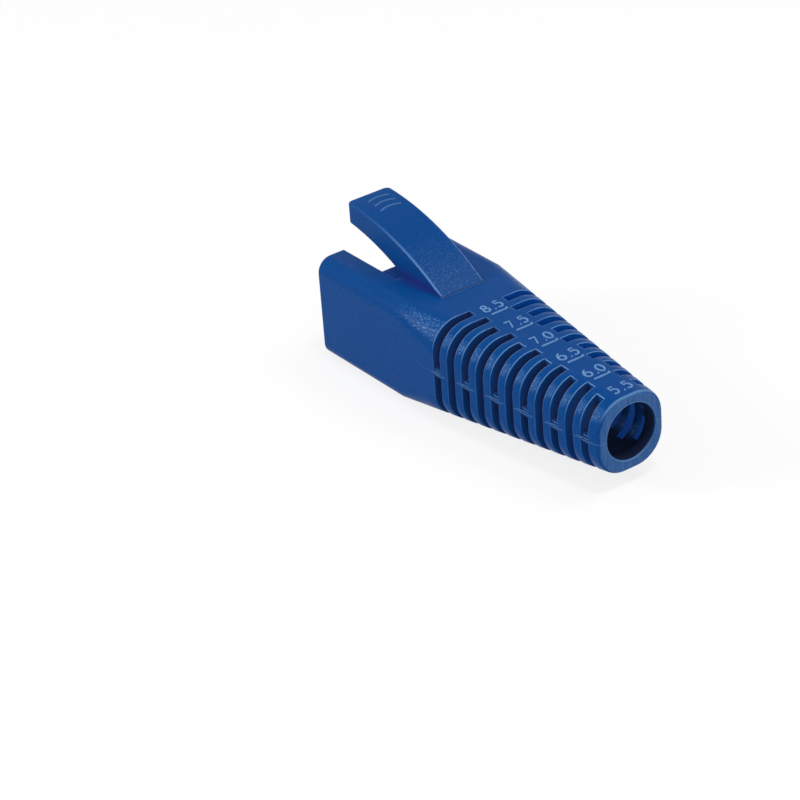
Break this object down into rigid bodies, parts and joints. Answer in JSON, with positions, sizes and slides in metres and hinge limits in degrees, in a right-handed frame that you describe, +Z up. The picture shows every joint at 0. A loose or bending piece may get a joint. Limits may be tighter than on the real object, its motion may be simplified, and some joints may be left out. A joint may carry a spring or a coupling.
{
  "type": "rj45 strain relief boot",
  "caption": "Flexible moulded boot with a box housing for a modular plug, an arched hood over the latch notch and a slotted, tapering sleeve that eases the bend of the cable.",
  "frame": {"origin": "middle of the footprint, on the surface the boot stands on", "axes": "+X from the mouth of the housing towards the cable exit, +Y across, +Z up towards the latch hood"},
  "size_m": [0.0396, 0.0132, 0.0155],
  "materials": {
    "moulded_blue": "semi-matte soft moulded plastic with a fine spark-eroded grain"
  },
  "bodies": {
    "root": {"boot": "moulded_blue"}
  },
  "joints": []
}
